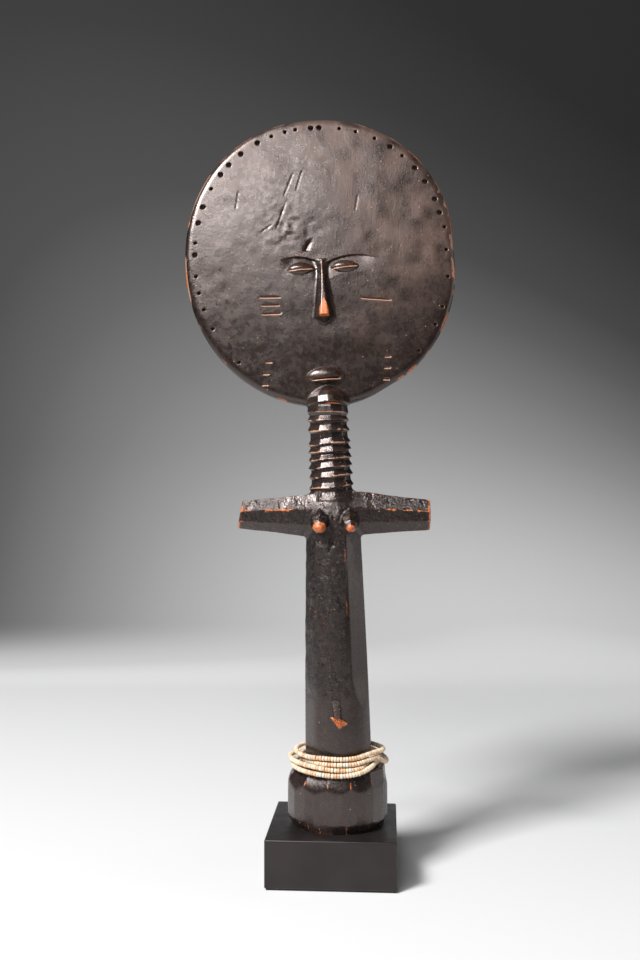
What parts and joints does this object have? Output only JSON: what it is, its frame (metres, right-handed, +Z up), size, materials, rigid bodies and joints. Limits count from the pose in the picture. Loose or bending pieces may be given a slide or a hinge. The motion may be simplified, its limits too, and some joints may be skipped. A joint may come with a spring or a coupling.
{
  "type": "disc-headed akuaba doll",
  "caption": "Carved dark wooden doll with a flat disc head, ringed neck, short cone arms, a column body and a foot drum ringed with glass beads, standing on a black block.",
  "frame": {"origin": "centre of the block's underside", "axes": "+Z up, the doll faces -Y, its right arm is on -X"},
  "size_m": [0.1374, 0.0684, 0.38],
  "materials": {
    "block": "black stain with a satin wax coat",
    "wood": "knife-cut, dark handled patina, worn to orange-brown on the edges",
    "beads": "opaque cream glass, glossy"
  },
  "bodies": {
    "root": {"plinth": "block", "figure": "wood", "bead_strand_1": "beads", "bead_strand_2": "beads", "bead_strand_3": "beads", "bead_strand_4": "beads"}
  },
  "joints": []
}
